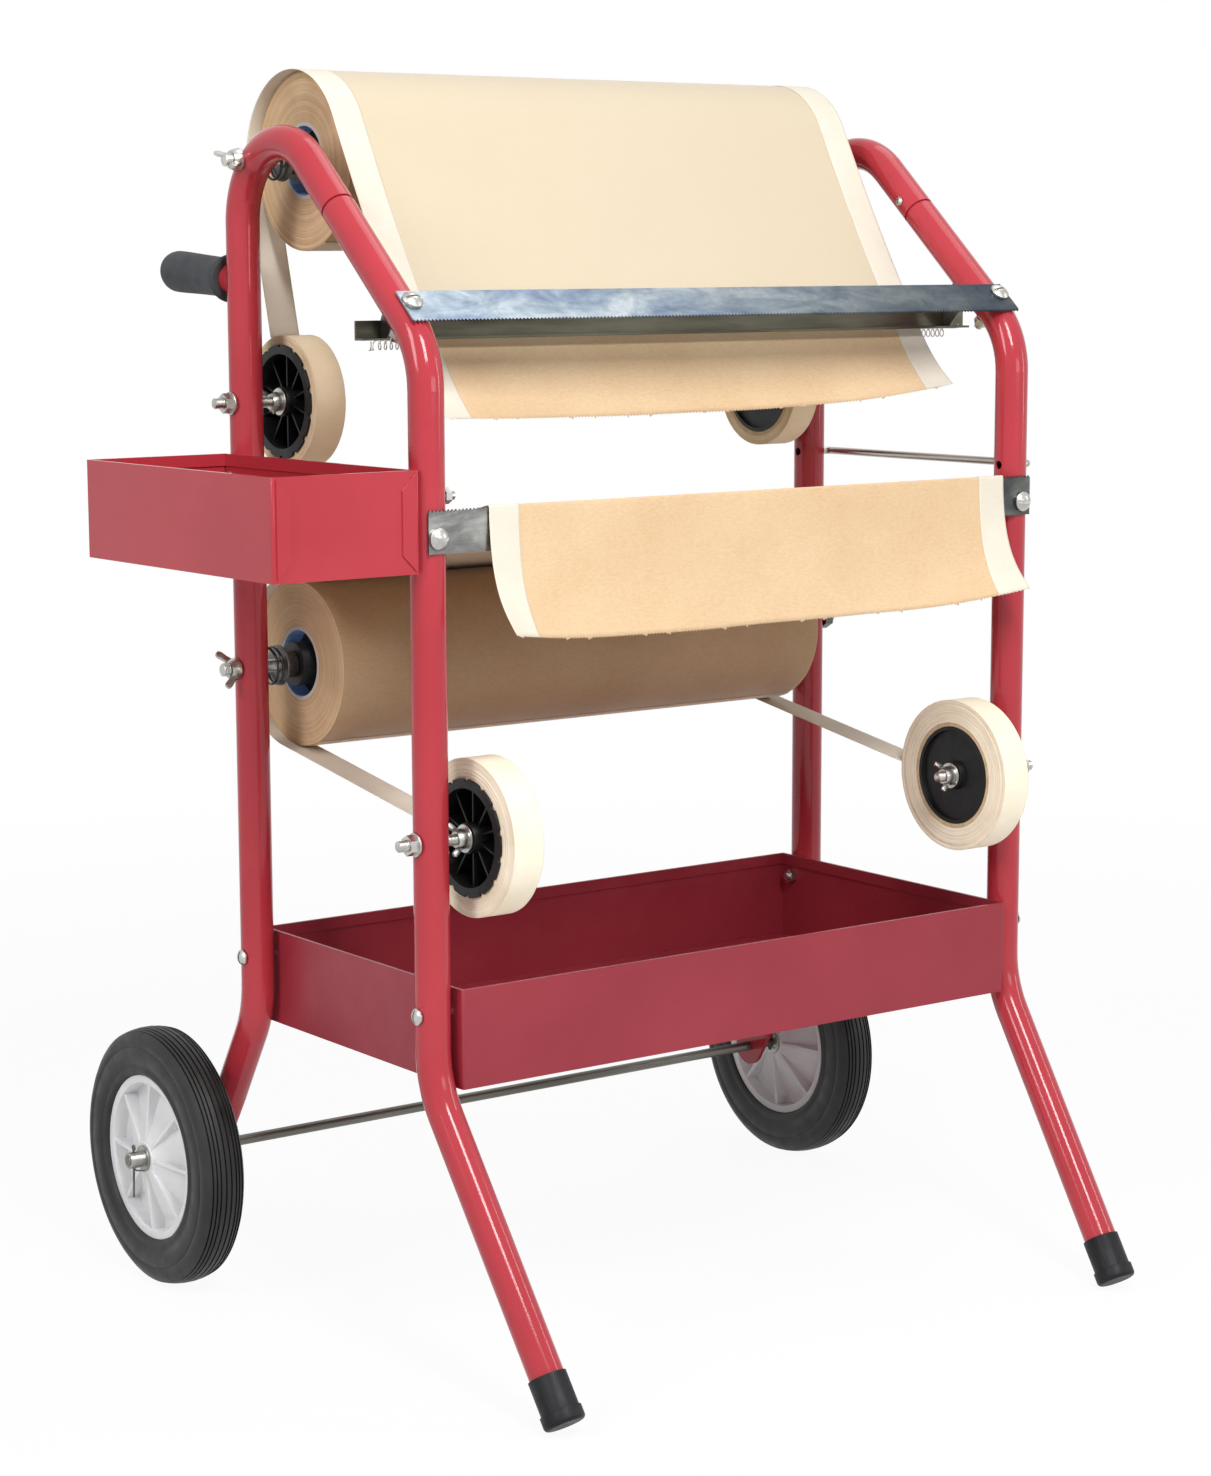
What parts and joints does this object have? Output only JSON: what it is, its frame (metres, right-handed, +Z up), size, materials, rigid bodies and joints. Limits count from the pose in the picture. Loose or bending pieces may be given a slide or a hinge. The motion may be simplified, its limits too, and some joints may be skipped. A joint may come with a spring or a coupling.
{
  "type": "masking paper dispenser trolley",
  "caption": "Tubular floor trolley on wheels that feeds masking paper rolls with tape along both edges to serrated tear-off blades, with a bottom tray and a side tool tray.",
  "frame": {"origin": "on the floor, in the middle of the whole object seen from above", "axes": "+Z up, -Y to the front where the torn paper hangs, +X to the right seen from the front"},
  "size_m": [0.743, 0.5682, 0.9204],
  "materials": {
    "red_enamel": "gloss",
    "zinc": "satin",
    "blade_steel": "satin",
    "dark_steel": "satin",
    "cap_rubber": "matt",
    "grip_foam": "matt",
    "tyre_rubber": "matt",
    "hub_plastic": "matt",
    "black_plastic": "satin",
    "kraft_paper": "matt",
    "tape_paper": "matt",
    "roll_core_board": "matt",
    "tape_core_board": "matt"
  },
  "bodies": {
    "frame": {"left_front_tube": "red_enamel", "right_front_tube": "red_enamel", "left_rear_tube": "red_enamel", "right_rear_tube": "red_enamel", "self_tapping_screws": "zinc", "foot_caps": "cap_rubber", "handle_stubs": "red_enamel", "handle_grips": "grip_foam", "axle": "dark_steel", "axle_split_pins": "zinc", "axle_washers": "zinc", "bottom_tray": "red_enamel", "tool_tray": "red_enamel", "pan_screws": "zinc", "hex_nuts": "zinc", "upper_blade": "blade_steel", "lower_blade": "blade_steel", "tension_bar": "dark_steel", "bar_brackets": "dark_steel", "tension_spring": "zinc", "side_rail": "dark_steel", "upper_roll_rod": "zinc", "lower_roll_rod": "zinc", "rod_wing_nuts": "zinc", "rod_hex_nuts": "dark_steel", "roll_spacers": "zinc", "drag_springs": "dark_steel", "tape_studs": "zinc", "stud_flange_nuts": "zinc", "tape_washers": "zinc", "tape_wing_nuts": "zinc", "upper_paper_web": "kraft_paper", "lower_paper_web": "kraft_paper", "upper_left_tape_strip": "tape_paper", "upper_right_tape_strip": "tape_paper", "lower_left_tape_strip": "tape_paper", "lower_right_tape_strip": "tape_paper"},
    "left_wheel": {"left_tyre": "tyre_rubber", "left_wheel_hub": "hub_plastic"},
    "right_wheel": {"right_tyre": "tyre_rubber", "right_wheel_hub": "hub_plastic"},
    "upper_roll": {"upper_paper_roll": "kraft_paper", "upper_roll_core": "roll_core_board", "upper_roll_plugs": "black_plastic"},
    "lower_roll": {"lower_paper_roll": "kraft_paper", "lower_roll_core": "roll_core_board", "lower_roll_plugs": "black_plastic"},
    "upper_left_tape_roll": {"upper_left_tape": "tape_paper", "upper_left_tape_core": "tape_core_board", "upper_left_tape_hub": "black_plastic"},
    "upper_right_tape_roll": {"upper_right_tape": "tape_paper", "upper_right_tape_core": "tape_core_board", "upper_right_tape_hub": "black_plastic"},
    "lower_left_tape_roll": {"lower_left_tape": "tape_paper", "lower_left_tape_core": "tape_core_board", "lower_left_tape_hub": "black_plastic"},
    "lower_right_tape_roll": {"lower_right_tape": "tape_paper", "lower_right_tape_core": "tape_core_board", "lower_right_tape_hub": "black_plastic"}
  },
  "joints": [
    {"name": "left_wheel_spin", "type": "hinge", "parent": "frame", "child": "left_wheel", "pos_m": [-0.2869, 0.18406, 0.1], "axis": [1, 0, 0], "continuous": true},
    {"name": "right_wheel_spin", "type": "hinge", "parent": "frame", "child": "right_wheel", "pos_m": [0.3391, 0.18406, 0.1], "axis": [1, 0, 0], "continuous": true},
    {"name": "upper_roll_spin", "type": "hinge", "parent": "frame", "child": "upper_roll", "pos_m": [0.0261, 0.09113, 0.85476], "axis": [1, 0, 0], "continuous": true},
    {"name": "lower_roll_spin", "type": "hinge", "parent": "frame", "child": "lower_roll", "pos_m": [0.0261, 0.10956, 0.484], "axis": [1, 0, 0], "continuous": true},
    {"name": "upper_left_tape_spin", "type": "hinge", "parent": "frame", "child": "upper_left_tape_roll", "pos_m": [-0.1989, 0.10956, 0.68], "axis": [1, 0, 0], "continuous": true},
    {"name": "upper_right_tape_spin", "type": "hinge", "parent": "frame", "child": "upper_right_tape_roll", "pos_m": [0.2511, 0.10956, 0.68], "axis": [1, 0, 0], "continuous": true},
    {"name": "lower_left_tape_spin", "type": "hinge", "parent": "frame", "child": "lower_left_tape_roll", "pos_m": [-0.1989, -0.13044, 0.386], "axis": [1, 0, 0], "continuous": true},
    {"name": "lower_right_tape_spin", "type": "hinge", "parent": "frame", "child": "lower_right_tape_roll", "pos_m": [0.2511, -0.13044, 0.386], "axis": [1, 0, 0], "continuous": true}
  ],
  "couplings": [
    {"joint": "upper_left_tape_spin", "follows": "upper_roll_spin", "ratio": 1.3299},
    {"joint": "upper_right_tape_spin", "follows": "upper_roll_spin", "ratio": 1.3299},
    {"joint": "lower_left_tape_spin", "follows": "lower_roll_spin", "ratio": 1.1116},
    {"joint": "lower_right_tape_spin", "follows": "lower_roll_spin", "ratio": 1.0641}
  ]
}
